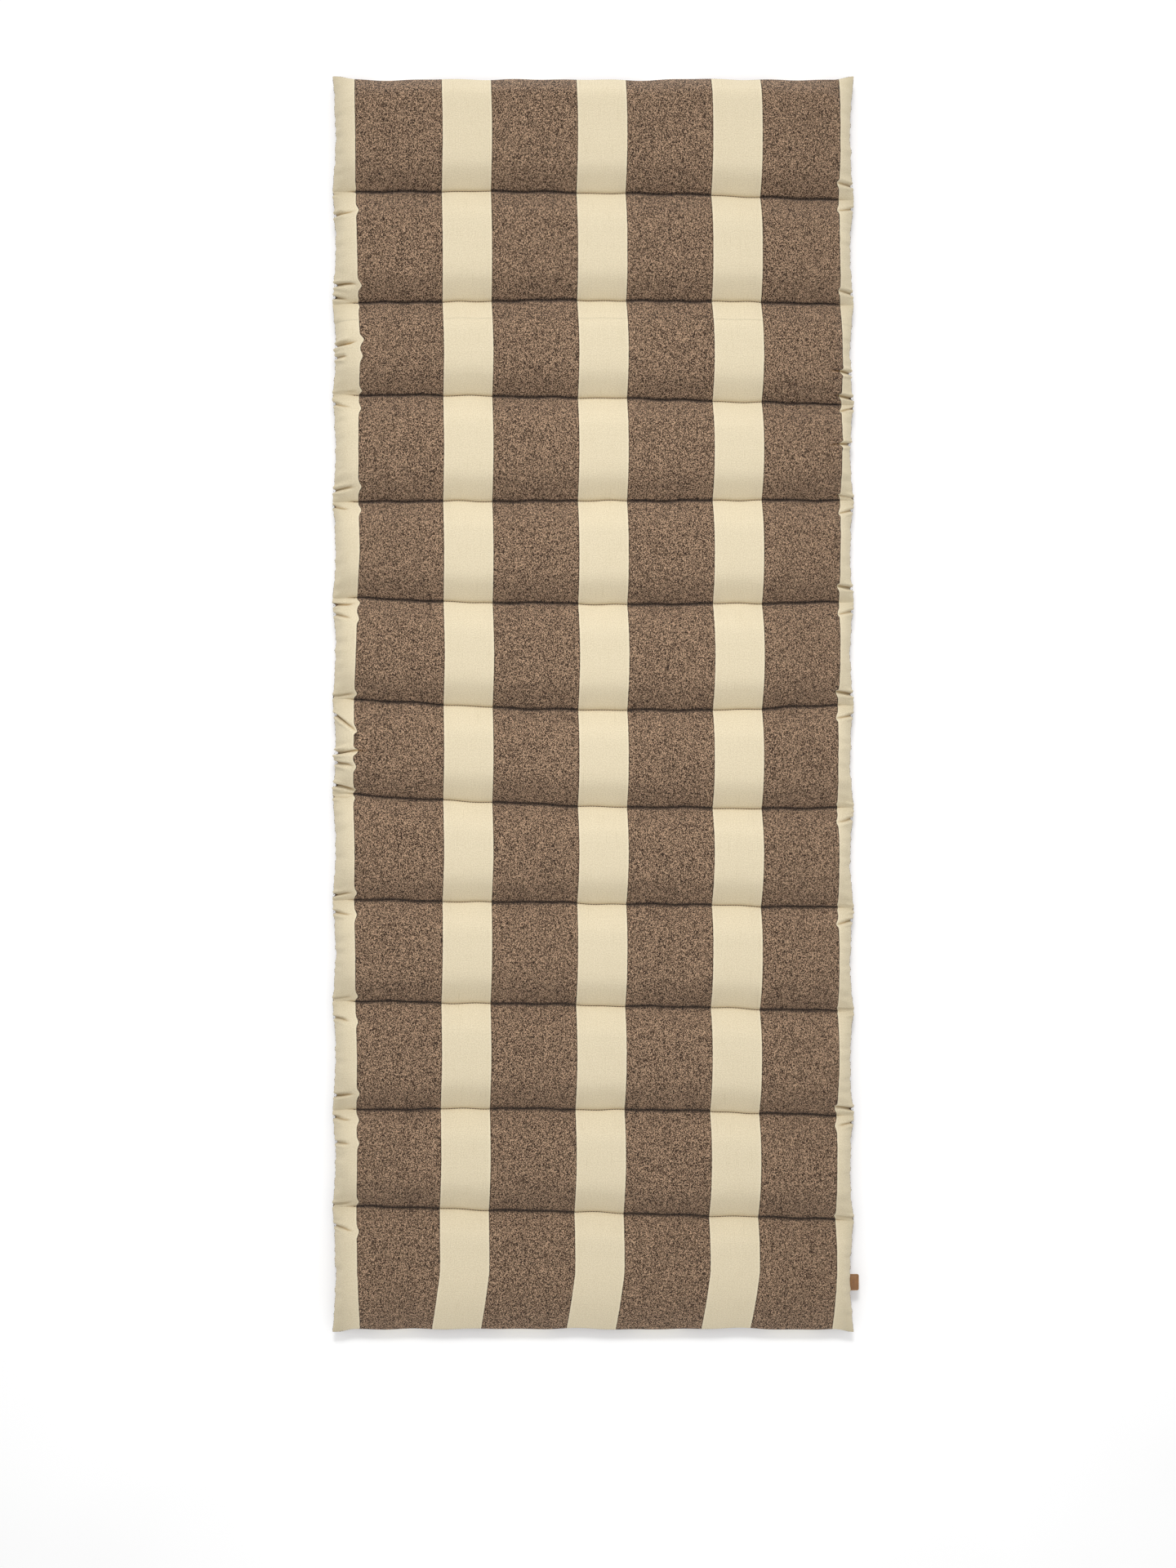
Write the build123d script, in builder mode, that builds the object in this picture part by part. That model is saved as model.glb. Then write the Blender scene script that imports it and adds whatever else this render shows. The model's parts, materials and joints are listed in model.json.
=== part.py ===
"""Quilted futon mattress: a long, thin mattress sewn across into twelve stuffed channels.

Seen from above, X runs across the width, +Y towards the head end and +Z up. The origin is on
the floor under the middle of the mattress. Two cloth panels, top and bottom, are sewn together
round the edge, and rows of stitching through both panels and the filling make the channels. The
mattress folds along those rows, so each channel is a body of its own: a filling pad, its share of
the two covers and its share of the edge stitching. Each fold axis is one row of quilting thread.
"""

import os
from math import radians, sin, tan

from build123d import *

# Overall sizes, in millimetres
mattress_width = 750.0
channel_count = 12
channel_pitch = 147.2  # between two rows of quilting
end_channel_length = 164.0  # from the last row of quilting to the end of the mattress
seam_drift = [2, 11, 1, 1, 1, 2, -2, -6, -5, -2, -1]  # how far towards the foot each row was sewn
crown_height = 56.0  # floor to the top of a channel
seam_height = 20.0  # floor to the stitching, in every seam

# How a channel is rounded
fold_limit = 100.0  # degrees that one row of quilting folds, either way
fold_clearance = 7.0  # degrees left between two channels at that limit
edge_angle = 52.0  # slope of the filling at the sides and the two ends
crown_radius = 60.0
base_radius = 30.0
rounding_share = 0.95  # a rounding takes up no more than this share of a flank or half a flat
side_overrun = 2.0  # the rounding of the two sides starts this far above the crown

# Cloth, filling and thread
cloth_thickness = 0.8
filling_clearance = 0.1  # between the filling and the cloth
edge_strip = 3.0  # width of the sewn strip where the two panels meet
quilt_thread_radius = 0.8
needle_gap = 2.4  # radius kept clear of cloth around each row of quilting
edge_thread_radius = 0.35
thread_clearance = 0.05

# Leather tab caught in the edge near the foot end
tab_length = 24.0
tab_reach = 11.0  # how far it stands out of the edge
tab_root = 8.0  # how far it goes in between the panels
tab_thickness = 2.4
tab_ply_gap = 0.2
tab_corner_radius = 3.0
tab_from_foot = 65.0  # foot end to the middle of the tab
tab_clearance = 0.1

half_width = mattress_width / 2
mattress_length = 2 * end_channel_length + (channel_count - 2) * channel_pitch
head_end = mattress_length / 2
thread_groove = edge_thread_radius + thread_clearance
flank_angle = (180.0 - fold_limit - fold_clearance) / 2  # slope of a channel at its seams


def seam_places():
    """Y of each row of quilting, from the head end to the foot end."""
    rows = range(channel_count - 1)
    first = head_end - end_channel_length
    return [first - row * channel_pitch - seam_drift[row % len(seam_drift)] for row in rows]


def channel_limits():
    """(head line, foot line) of each channel, in Y."""
    lines = [head_end, *seam_places(), -head_end]
    return list(zip(lines[:-1], lines[1:]))


def at_mattress_end(line):
    return abs(line) >= head_end


def rounding_that_fits(wanted, height, width, angles):
    """The wanted radius, or as much of it as the two flanks and the flat between them leave room for.

    The flanks rise to height, or fall to it, over a pad of the given width at the seams.
    """
    flat = width - sum(height / tan(radians(angle)) for angle in angles)
    flanks = [height / sin(radians(angle)) for angle in angles]
    room = rounding_share * min(flat / 2, *flanks)
    return min(wanted, room / tan(radians(max(angles)) / 2))


def padded_outline(low, high, low_angle, high_angle, inset, beyond=0.0):
    """Outline of a stuffed pad between two seams, flat on the floor and rounded over the top.

    Its flanks rise and fall from the seams at the given angles. inset moves every side inwards by
    the same amount, and beyond takes the flanks on past the crown and the floor.
    """
    top = crown_height - inset + beyond
    bottom = inset - beyond
    low_tip = low + inset / sin(radians(low_angle))
    high_tip = high - inset / sin(radians(high_angle))
    rise = top - seam_height
    drop = seam_height - bottom
    angles = (low_angle, high_angle)
    over_crown = rounding_that_fits(crown_radius, rise + inset, high - low, angles)
    over_base = rounding_that_fits(base_radius, drop + inset, high - low, angles)
    with BuildSketch() as outline:
        with BuildLine():
            Polyline(
                (low_tip, seam_height),
                (low_tip + drop / tan(radians(low_angle)), bottom),
                (high_tip - drop / tan(radians(high_angle)), bottom),
                (high_tip, seam_height),
                (high_tip - rise / tan(radians(high_angle)), top),
                (low_tip + rise / tan(radians(low_angle)), top),
                close=True,
            )
        make_face()
        fillet(vertices().group_by(Axis.Y)[-1], over_crown - inset)
        fillet(vertices().group_by(Axis.Y)[0], over_base - inset)
    return outline.sketch


def lengthwise_outline(head_line, foot_line, inset):
    """A channel seen from the side, from seam to seam."""
    low_angle = edge_angle if at_mattress_end(foot_line) else flank_angle
    high_angle = edge_angle if at_mattress_end(head_line) else flank_angle
    low = foot_line + (edge_strip if at_mattress_end(foot_line) else 0)
    high = head_line - (edge_strip if at_mattress_end(head_line) else 0)
    return padded_outline(low, high, low_angle, high_angle, inset)


def crosswise_outline(inset):
    """The mattress seen from its foot end, with sides that run on past the crown and the floor."""
    reach = half_width - edge_strip
    return padded_outline(-reach, reach, edge_angle, edge_angle, inset, beyond=side_overrun)


def channel_form(head_line, foot_line, inset=0.0, strip=False):
    """A whole channel as one solid, moved inwards by inset, and clear of its rows of quilting.

    strip adds the flat strip all round, where the two panels are sewn together.
    """
    lengthwise = lengthwise_outline(head_line, foot_line, inset)
    crosswise = crosswise_outline(inset)
    with BuildPart() as form:
        with BuildSketch(Plane.YZ):
            add(lengthwise)
        extrude(amount=mattress_width, both=True)
        with BuildSketch(Plane.XZ):
            add(crosswise)
        extrude(amount=mattress_length, both=True, mode=Mode.INTERSECT)
        if strip:
            with Locations((0, (head_line + foot_line) / 2, seam_height)):
                Box(mattress_width, head_line - foot_line, cloth_thickness * 2)
        for line in (head_line, foot_line):
            if not at_mattress_end(line):
                with Locations((0, line, seam_height)):
                    Cylinder(
                        needle_gap + 2 * inset, 2 * mattress_width, rotation=(0, 90, 0), mode=Mode.SUBTRACT
                    )
    return form.part


def edge_thread_runs(head_line, foot_line):
    """(centre, length, is it across) of each straight run of a channel's edge stitching."""
    inset = edge_strip / 2
    start = foot_line + (inset if at_mattress_end(foot_line) else edge_strip)
    stop = head_line - (inset if at_mattress_end(head_line) else edge_strip)
    middle = (start + stop) / 2
    runs = [((side * (half_width - inset), middle), stop - start, False) for side in (-1, 1)]
    for line in (head_line, foot_line):
        if at_mattress_end(line):
            place = line - inset if line > 0 else line + inset
            runs.append(((0, place), mattress_width - 2 * edge_strip, True))
    return runs


def add_thread_runs(runs, radius, mode=Mode.ADD):
    """Round thread along each run, in the open part."""
    for (x, y), length, across in runs:
        with Locations((x, y, seam_height)):
            Cylinder(radius, length, rotation=(0, 90, 0) if across else (90, 0, 0), mode=mode)


def edge_thread(number, head_line, foot_line):
    with BuildPart() as thread:
        add_thread_runs(edge_thread_runs(head_line, foot_line), edge_thread_radius)
    thread.part.label = f"edge_thread_{number:02d}"
    return thread.part


def tab_place():
    """Middle of the leather tab, in X and Y."""
    return half_width + (tab_reach - tab_root) / 2, -head_end + tab_from_foot


def add_tab_pocket():
    """Room for the tab's root between the two panels, in the open part."""
    x, y = tab_place()
    size = (tab_reach + tab_root, tab_length, tab_thickness)
    with Locations((x, y, seam_height)):
        Box(*(length + 2 * tab_clearance for length in size), mode=Mode.SUBTRACT)


def holds_tab(head_line, foot_line):
    return foot_line < tab_place()[1] < head_line


def filling_pad(number, head_line, foot_line):
    """Wadding that fills the channel to just inside the cloth."""
    form = channel_form(head_line, foot_line, inset=cloth_thickness + filling_clearance)
    with BuildPart() as pad:
        add(form)
        if holds_tab(head_line, foot_line):
            add_tab_pocket()
    pad.part.label = f"filling_pad_{number:02d}"
    return pad.part


def cover(number, head_line, foot_line, side):
    """The channel's share of one cloth panel. side is top or bottom."""
    outside = channel_form(head_line, foot_line, strip=True)
    inside = channel_form(head_line, foot_line, inset=cloth_thickness)
    with BuildPart() as cloth:
        add(outside)
        add(inside, mode=Mode.SUBTRACT)
        add_thread_runs(edge_thread_runs(head_line, foot_line), thread_groove, mode=Mode.SUBTRACT)
        if holds_tab(head_line, foot_line):
            add_tab_pocket()
        split(bisect_by=Plane.XY.offset(seam_height), keep=Keep.TOP if side == "top" else Keep.BOTTOM)
    cloth.part.label = f"{side}_cover_{number:02d}"
    return cloth.part


def quilt_thread(number, line):
    """One row of quilting, along the fold axis from edge to edge."""
    with BuildPart() as thread:
        with Locations((0, line, seam_height)):
            Cylinder(quilt_thread_radius, mattress_width - 2 * edge_strip, rotation=(0, 90, 0))
    thread.part.label = f"quilt_thread_{number:02d}"
    return thread.part


def label_tab(head_line, foot_line):
    """A leather strip folded in two, its fold standing out of the edge, sewn in by the edge thread."""
    x, y = tab_place()
    reach = tab_reach + tab_root
    outer = x + reach / 2
    with BuildPart() as tab:
        with BuildSketch(Plane.XZ.offset(-y)):
            with Locations((outer, seam_height)):
                Rectangle(reach, tab_thickness, align=(Align.MAX, Align.CENTER))
        extrude(amount=tab_length / 2, both=True)
        fold = tab.edges().filter_by(Axis.Y).group_by(Axis.X)[-1]
        fillet(fold, tab_thickness / 2 - tab_ply_gap / 2)
        with BuildSketch(Plane.XY):
            with Locations((outer, y)):
                Rectangle(reach, tab_length, align=(Align.MAX, Align.CENTER))
            corners = vertices().group_by(Axis.X)[-1]
            fillet(corners, tab_corner_radius)
        extrude(amount=crown_height, mode=Mode.INTERSECT)
        with Locations((outer - tab_thickness, y, seam_height)):
            Box(
                reach,
                tab_length,
                tab_ply_gap,
                align=(Align.MAX, Align.CENTER, Align.CENTER),
                mode=Mode.SUBTRACT,
            )
        add_thread_runs(edge_thread_runs(head_line, foot_line), thread_groove, mode=Mode.SUBTRACT)
    tab.part.label = "label_tab"
    return tab.part


def mattress():
    """Every piece of the mattress, in place."""
    pieces = []
    for number, (head_line, foot_line) in enumerate(channel_limits(), start=1):
        pieces.append(filling_pad(number, head_line, foot_line))
        pieces.append(cover(number, head_line, foot_line, "top"))
        pieces.append(cover(number, head_line, foot_line, "bottom"))
        pieces.append(edge_thread(number, head_line, foot_line))
        if holds_tab(head_line, foot_line):
            pieces.append(label_tab(head_line, foot_line))
    for number, line in enumerate(seam_places(), start=1):
        pieces.append(quilt_thread(number, line))
    return pieces


os.makedirs("parts", exist_ok=True)
for piece in mattress():
    export_step(piece, f"parts/{piece.label}.step")
    print(piece.label, len(piece.solids()), "solid", round(piece.volume), "mm3")
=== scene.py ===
import json
import math

import bpy
import numpy as np
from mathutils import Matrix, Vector


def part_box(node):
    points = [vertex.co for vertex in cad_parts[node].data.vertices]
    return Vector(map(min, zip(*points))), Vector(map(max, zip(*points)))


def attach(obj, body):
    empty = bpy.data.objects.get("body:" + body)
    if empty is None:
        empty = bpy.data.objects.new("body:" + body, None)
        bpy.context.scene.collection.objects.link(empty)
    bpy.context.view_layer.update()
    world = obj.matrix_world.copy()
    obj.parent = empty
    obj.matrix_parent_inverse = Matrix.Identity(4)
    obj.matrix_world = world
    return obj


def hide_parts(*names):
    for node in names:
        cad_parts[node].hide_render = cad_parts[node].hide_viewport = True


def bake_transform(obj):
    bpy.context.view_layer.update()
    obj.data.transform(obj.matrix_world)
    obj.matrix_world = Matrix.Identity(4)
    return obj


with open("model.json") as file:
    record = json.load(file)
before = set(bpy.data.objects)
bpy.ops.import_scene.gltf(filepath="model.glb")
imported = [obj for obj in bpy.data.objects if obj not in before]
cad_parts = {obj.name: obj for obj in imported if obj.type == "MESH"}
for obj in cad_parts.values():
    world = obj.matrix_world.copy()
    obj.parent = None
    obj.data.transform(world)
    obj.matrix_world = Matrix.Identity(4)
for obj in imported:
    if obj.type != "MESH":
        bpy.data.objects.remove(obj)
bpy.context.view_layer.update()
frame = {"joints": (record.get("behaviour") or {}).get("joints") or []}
bpy.ops.object.select_all(action="DESELECT")

# Where the frame puts the mattress, all in metres
seamJoints = sorted(frame["joints"], key=lambda joint: joint["name"])
seamRows = [joint["pos_m"][1] for joint in seamJoints]
seamHeight = seamJoints[0]["pos_m"][2]
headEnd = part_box("top_cover_01")[1].y
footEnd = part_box("top_cover_12")[0].y
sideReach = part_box("top_cover_06")[1].x
channelCount = len(seamRows) + 1
quiltedReach = sideReach - 0.026  # the rows of quilting stop short of the rolled sides
print("frame loaded,", channelCount, "channels")


# ---- small helpers

def selectOnly(piece):
    bpy.ops.object.select_all(action="DESELECT")
    piece.select_set(True)
    bpy.context.view_layer.objects.active = piece


def applyModifiers(piece):
    selectOnly(piece)
    for modifier in list(piece.modifiers):
        bpy.ops.object.modifier_apply(modifier=modifier.name)


def readPlaces(mesh):
    places = np.empty(len(mesh.vertices) * 3, np.float32)
    mesh.vertices.foreach_get("co", places)
    return places.reshape(-1, 3).astype(float)


def readNormals(mesh):
    normals = np.empty(len(mesh.vertices) * 3, np.float32)
    mesh.vertices.foreach_get("normal", normals)
    return normals.reshape(-1, 3).astype(float)


def writePlaces(mesh, places):
    mesh.vertices.foreach_set("co", places.astype(np.float32).ravel())
    mesh.update()


def writeShade(mesh, name, values):
    # one value for each vertex, which a material reads by its name
    shade = mesh.attributes.new(name, "FLOAT", "POINT")
    shade.data.foreach_set("value", values.astype(np.float32))


def cornerVertices(mesh):
    corner = np.empty(len(mesh.loops), np.int32)
    mesh.loops.foreach_get("vertex_index", corner)
    return corner


def selectVertices(mesh, chosen):
    # leaves the piece in edit mode, with only these vertices selected
    bpy.ops.object.mode_set(mode="EDIT")
    bpy.ops.mesh.select_mode(type="VERT")
    bpy.ops.mesh.select_all(action="DESELECT")
    bpy.ops.object.mode_set(mode="OBJECT")
    mesh.vertices.foreach_set("select", chosen)
    bpy.ops.object.mode_set(mode="EDIT")


def selectFaces(mesh, test):
    # leaves the piece in edit mode, with the faces that pass the test selected
    bpy.ops.object.mode_set(mode="EDIT")
    bpy.ops.mesh.select_mode(type="FACE")
    bpy.ops.mesh.select_all(action="DESELECT")
    bpy.ops.object.mode_set(mode="OBJECT")
    for face in mesh.polygons:
        face.select = bool(test(face))
    bpy.ops.object.mode_set(mode="EDIT")


def selectEdges(mesh, test):
    # leaves the piece in edit mode, with the edges whose two ends pass the test selected
    bpy.ops.object.mode_set(mode="EDIT")
    bpy.ops.mesh.select_mode(type="EDGE")
    bpy.ops.mesh.select_all(action="DESELECT")
    bpy.ops.object.mode_set(mode="OBJECT")
    for edge in mesh.edges:
        a, b = (mesh.vertices[index].co for index in edge.vertices)
        edge.select = bool(test(a, b))
    bpy.ops.object.mode_set(mode="EDIT")


def smoothStep(value, low, high):
    share = np.clip((value - low) / (high - low), 0, 1)
    return share * share * (3 - 2 * share)


def softMin(a, b, sharpness):
    a = np.maximum(a, 1e-7)
    b = np.maximum(b, 1e-7)
    return (a ** -sharpness + b ** -sharpness) ** (-1 / sharpness)


def waves(x, seed, count, longest, shortest):
    # a sum of sines with seeded lengths and places, about 1 high
    draw = np.random.default_rng(seed)
    total = np.zeros_like(x)
    for length in np.geomspace(longest, shortest, count):
        total += np.sin(2 * math.pi * x / length / draw.uniform(0.85, 1.15) + draw.uniform(0, 6.3))
    return total / math.sqrt(count)


def channelNames(channel):
    return f"channel_{channel:02d}", f"channel_{channel + 1:02d}"


# ---- the outline that the cloth is sewn to

outlineSettings = {
    # how far each row of quilting wavers towards the foot, in mm: left, middle and right
    "rowWaver": [
        (-6, -4, 5), (-1, -5, 0), (-6, -1, 8), (1, 0, -1), (-6, 2, -1), (-8, 7, 1),
        (-13, 3, 5), (-5, 0, 5), (-7, -1, 6), (-1, -1, 7), (-9, 0, 9),
    ],
    "waverPlaces": (-0.33, 0.02, 0.33),
    "waverReach": 0.36,     # straight on from here to the side
    "rowRipple": 0.0009,
    "endRipple": 0.0010,
    "sideRipple": 0.0010,
    "sideRippleRun": 0.15,  # length of a channel, as far as the ripples of the sides go
    # left and right: how far the sides stand out at each row, and draw in again between two rows
    "sideOut": (0.0052, 0.0015),
    "sideScallop": (0.0050, 0.0060),
    "cornerEar": 0.0050,    # the four corners stand out past the ends
    "earWidth": 0.030,
    "endOut": 0.0035,
}


def rowLine(row, x):
    # row 0 is the head end, row channelCount the foot end
    s = outlineSettings
    if row in (0, channelCount):
        end, out = (headEnd, 1) if row == 0 else (footEnd, -1)
        ear = smoothStep(abs(x), sideReach - s["earWidth"], sideReach)
        ripple = waves(x, 90 + row, 4, 0.31, 0.07) * s["endRipple"]
        return end + out * (s["cornerEar"] * ear + s["endOut"]) + ripple
    bend = np.polyfit(s["waverPlaces"], np.array(s["rowWaver"][row - 1]) / 1000, 2)
    ripple = waves(x, 40 + row, 3, 0.24, 0.06) * s["rowRipple"]
    waver = np.polyval(bend, np.clip(x, -s["waverReach"], s["waverReach"]))
    return seamRows[row - 1] - waver + ripple


def sideLine(side, channel, share):
    # share runs from 0 at the channel's foot row to 1 at its head row
    s = outlineSettings
    scallop = np.sin(math.pi * np.clip(share, 0, 1)) ** 0.7
    place = share * s["sideRippleRun"] + channel
    ripple = waves(place, 200 + channel * 2 + side, 5, 0.07, 0.010) * s["sideRipple"]
    out, drawn = s["sideOut"][side > 0], s["sideScallop"][side > 0]
    return sideReach + out - drawn * scallop + ripple * scallop


# ---- the stuffed channels: two panels of cloth sewn together and filled

cushionSettings = {
    "cellAcross": 0.0060,
    "cellAlong": 0.0043,
    "restAlong": 1.125,     # the flat cloth against the distance between two rows
    "sideSlack": 0.0120,    # spare cloth at each side, taken up by the rise from the edge
    "sideRise": 0.055,      # how far in from the edge the rise ends
    "seedFold": 0.0012,     # shallow folds near the sides, which the filling works on
    "seedFoldFrom": (0.29, 0.35),
    "mergeDistance": 0.00005,
    "pressure": 5.0,
    "frames": 20,
    "quality": 5,
    "tension": 30.0,
    "compression": 12.0,
    "shear": 6.0,
    "bending": 1.5,
    "flankSlope": math.radians(36),
    "seamPinch": 0.0030,    # how steeply the cloth dives to the stitches: height and width
    "pinchWidth": 0.0011,
    "topRise": 0.0290,      # the firm filling is level at about this height over the seams
    "firmSides": 1.25,      # how much fuller the filling holds the top than the air in the simulation
    "firmMiddle": 1.45,
    "firmFrom": (0.02, 0.07),
    "topSharpness": 7,      # how sharply one height gives way to the next
    "underSharpness": 5,
    "flankSharpness": (6, 8),   # on the foot side and on the head side
    "footRoll": 0.100,      # the filling falls away this far in from the foot end
    "footRollPower": 2.4,
    "footRollSharpness": 10,
    "seamShadeGap": (0.0003, 0.0024),   # how far painted seam shade darkens the cloth beside the stitches
    "sideShadeWidth": (-0.004, 0.034),
    "fineBorder": 0.050,    # a finer mesh this far in from the sides, for their small folds
    "fill": 0.7,
}


# how far the stripes have moved to the right, in mm, at the left border, the middle and the right
# border: in the middle of each channel, and last at the foot end
stripePulls = [
    (-5, -2, 0), (-2, -2, -1), (3, 0, 5), (0, 0, 4), (2, 0, 0), (-4, 1, 0),
    (-8, 0, -4), (-6, 0, -2), (-5, -2, -2), (-2, -3, -2), (-2, -4, -6), (-2, -6, -6), (3, -16, -11),
]
borderBlend = (0.24, 0.33)  # from the pull of the middle to that of a border


def stripePull(x, y):
    lines = [headEnd, *seamRows, footEnd]
    middles = [(head + foot) / 2 for head, foot in zip(lines[:-1], lines[1:])]
    rows = -np.array([*middles, footEnd])
    left, middle, right = (np.interp(-y, rows, pulls) / 1000 for pulls in zip(*stripePulls))
    toLeft, toRight = smoothStep(-x, *borderBlend), smoothStep(x, *borderBlend)
    return middle + (left - middle) * toLeft + (right - middle) * toRight


def arcHalfAngle(ratio):
    # half the angle of an arc that is ratio times as long as its chord
    angle = 1.0
    for _ in range(80):
        angle = ratio * math.sin(angle)
    return angle


def makeFlatCushion(channel):
    s = cushionSettings
    middle = np.zeros(1)
    head = float(rowLine(channel - 1, middle)[0])
    foot = float(rowLine(channel, middle)[0])
    columns = 2 * round((sideReach + s["sideSlack"]) / s["cellAcross"])
    rows = round((head - foot) * s["restAlong"] / s["cellAlong"])
    bpy.ops.object.select_all(action="DESELECT")
    bpy.ops.mesh.primitive_grid_add(x_subdivisions=columns, y_subdivisions=rows, size=2)
    cushion = bpy.context.object
    cushion.name = f"cushion_{channel:02d}"
    bpy.ops.object.mode_set(mode="EDIT")
    bpy.ops.mesh.select_all(action="SELECT")
    bpy.ops.mesh.duplicate()
    bpy.ops.mesh.flip_normals()
    bpy.ops.object.mode_set(mode="OBJECT")
    mesh = cushion.data
    square = readPlaces(mesh)
    across, share = square[:, 0], (square[:, 1] + 1) / 2
    sheet = np.ones(len(square))
    sheet[len(square) // 2:] = -1  # the duplicate is the underside panel
    border = np.maximum(abs(across), abs(square[:, 1])) > 1 - 1e-5

    # across the mattress the cloth rises from the edge and then lies level
    slack, rise = s["sideSlack"], s["sideRise"]
    reach = np.where(across > 0, sideLine(1, channel, share), sideLine(-1, channel, share))
    fromEdge = (1 - abs(across)) * (reach + slack)
    climb = np.clip(fromEdge / rise, 0, 1)
    climbed = 1 - (1 - climb) ** 2
    x = np.sign(across) * (reach - fromEdge + slack * climbed)
    arch = climbed ** 0.9

    # along the mattress it arches from row to row
    half = arcHalfAngle(s["restAlong"])
    headLine, footLine = rowLine(channel - 1, x), rowLine(channel, x)
    turn = half * (2 * share - 1)
    arched = 0.5 + np.sin(turn) / (2 * math.sin(half))
    y = footLine + (headLine - footLine) * (share + arch * (arched - share))
    height = (head - foot) / (2 * math.sin(half)) * (np.cos(turn) - math.cos(half))
    nearEdge = smoothStep(abs(x), *s["seedFoldFrom"])
    folds = waves(y + 0.25 * abs(x), 300 + channel, 4, 0.045, 0.016) * nearEdge * s["seedFold"]
    z = seamHeight + np.where(border, 0, sheet * (arch * height + 0.0004) + folds)
    writePlaces(mesh, np.stack([x, y, z], 1))

    # the flat cut, kept as the cloth's own coordinates: metres across and along
    flatAcross = across * (reach + slack)
    flatAlong = head + (share - 1) * (head - foot) * s["restAlong"]
    flat = mesh.attributes.new("flatCut", "FLOAT_VECTOR", "POINT")
    cut = np.stack([flatAcross, flatAlong, sheet * (~border)], 1)
    flat.data.foreach_set("vector", cut.astype(np.float32).ravel())
    corner = cornerVertices(mesh)
    clothMap = mesh.uv_layers[0]
    clothMap.name = "clothMap"
    bow = clothSettings["bow"] * (np.sin(math.pi * share) - 0.64)  # about nothing over a channel
    taken = clothSettings["takenAtRight"] * smoothStep(flatAcross, *clothSettings["takenFrom"])
    shift = np.where(sheet < 0, clothSettings["undersideShift"], 0)
    pulled = stripePull(x, y)
    pattern = np.stack([flatAcross - bow + taken + shift - pulled, flatAlong], 1)
    clothMap.data.foreach_set("uv", pattern[corner].astype(np.float32).ravel())

    bpy.ops.object.mode_set(mode="EDIT")
    bpy.ops.mesh.select_all(action="SELECT")
    bpy.ops.mesh.remove_doubles(threshold=s["mergeDistance"])
    bpy.ops.object.mode_set(mode="OBJECT")
    return cushion


def flatCut(mesh):
    values = np.empty(len(mesh.vertices) * 3, np.float32)
    mesh.attributes["flatCut"].data.foreach_get("vector", values)
    return values.reshape(-1, 3).astype(float)


def addCloth(cushion):
    s = cushionSettings
    mesh = cushion.data
    cut = flatCut(mesh)
    border = abs(cut[:, 2]) < 0.5
    rest = np.stack([cut[:, 0], cut[:, 1], seamHeight + cut[:, 2] * 0.0003], 1)
    cushion.shape_key_add(name="sewn")
    flatKey = cushion.shape_key_add(name="flat")
    flatKey.data.foreach_set("co", rest.astype(np.float32).ravel())
    flatKey.value = 0
    group = cushion.vertex_groups.new(name="stitched")
    group.add([int(i) for i in np.nonzero(border)[0]], 1.0, "REPLACE")
    cloth = cushion.modifiers.new("cloth", "CLOTH")
    settings = cloth.settings
    settings.quality = s["quality"]
    settings.tension_stiffness = s["tension"]
    settings.compression_stiffness = s["compression"]
    settings.shear_stiffness = s["shear"]
    settings.bending_stiffness = s["bending"]
    settings.tension_damping = 12
    settings.compression_damping = 12
    settings.shear_damping = 10
    settings.air_damping = 4
    settings.vertex_group_mass = group.name
    settings.rest_shape_key = flatKey
    settings.use_pressure = True
    settings.uniform_pressure_force = s["pressure"]
    settings.effector_weights.gravity = 0
    cloth.collision_settings.use_collision = False
    cloth.point_cache.frame_end = s["frames"] + 1


def inflate(cushions):
    # the channels are filled side by side, and then the simulation is taken off again
    scene = bpy.context.scene
    for cushion in cushions:
        addCloth(cushion)
    for number in range(1, cushionSettings["frames"] + 1):
        scene.frame_set(number)
    graph = bpy.context.evaluated_depsgraph_get()
    settled = [readPlaces(cushion.evaluated_get(graph).data) for cushion in cushions]
    for cushion, places in zip(cushions, settled):
        cushion.modifiers.clear()
        cushion.shape_key_clear()
        cushion.vertex_groups.clear()
        writePlaces(cushion.data, places)
    scene.frame_set(1)


def refine(cushion, channel):
    # twice as many faces each way, with the rows of quilting kept as hard edges
    s = cushionSettings
    selectOnly(cushion)
    mesh = cushion.data
    places, border = readPlaces(mesh), abs(flatCut(mesh)[:, 2]) < 0.5
    onRow = np.zeros(len(places), bool)
    for row in (channel - 1, channel):
        if 0 < row < channelCount:
            onRow |= border & (abs(places[:, 1] - rowLine(row, places[:, 0])) < 0.0004)
    selectVertices(mesh, onRow)
    bpy.ops.mesh.select_mode(type="EDGE")
    bpy.ops.transform.edge_crease(value=1)
    bpy.ops.mesh.mark_sharp()
    bpy.ops.object.mode_set(mode="OBJECT")
    subdivision = cushion.modifiers.new("finer", "SUBSURF")
    subdivision.levels = subdivision.render_levels = 1
    subdivision.uv_smooth = "PRESERVE_BOUNDARIES"
    applyModifiers(cushion)
    fine = sideReach - s["fineBorder"]
    selectFaces(mesh, lambda face: abs(face.center.x) > fine and face.normal.z > 0)
    bpy.ops.mesh.subdivide(number_cuts=1)
    bpy.ops.object.mode_set(mode="OBJECT")
    bpy.ops.object.shade_smooth()


foldSettings = {
    "deeper": 1.7,          # all the edge folds, against the depths below
    "lip": 0.45,            # height of the two lips of a fold, against its depth
    "lipPlace": 1.7,
    "narrow": 0.0024,       # half width of an edge fold at the seam, and how it widens inwards
    "widening": 0.05,
    "fadeOut": (0.6, 1.1),  # shares of its length
    "shadeWidth": 0.0013,
    "pullWidth": 0.006,     # how far a fold reaches that pulls the stripes inwards
    "pullFrom": (0.008, 0.024),
    "pullStop": 0.075,
    "clearOfRow": 0.06,     # share of a channel that the folds keep off its rows of quilting
}

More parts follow.
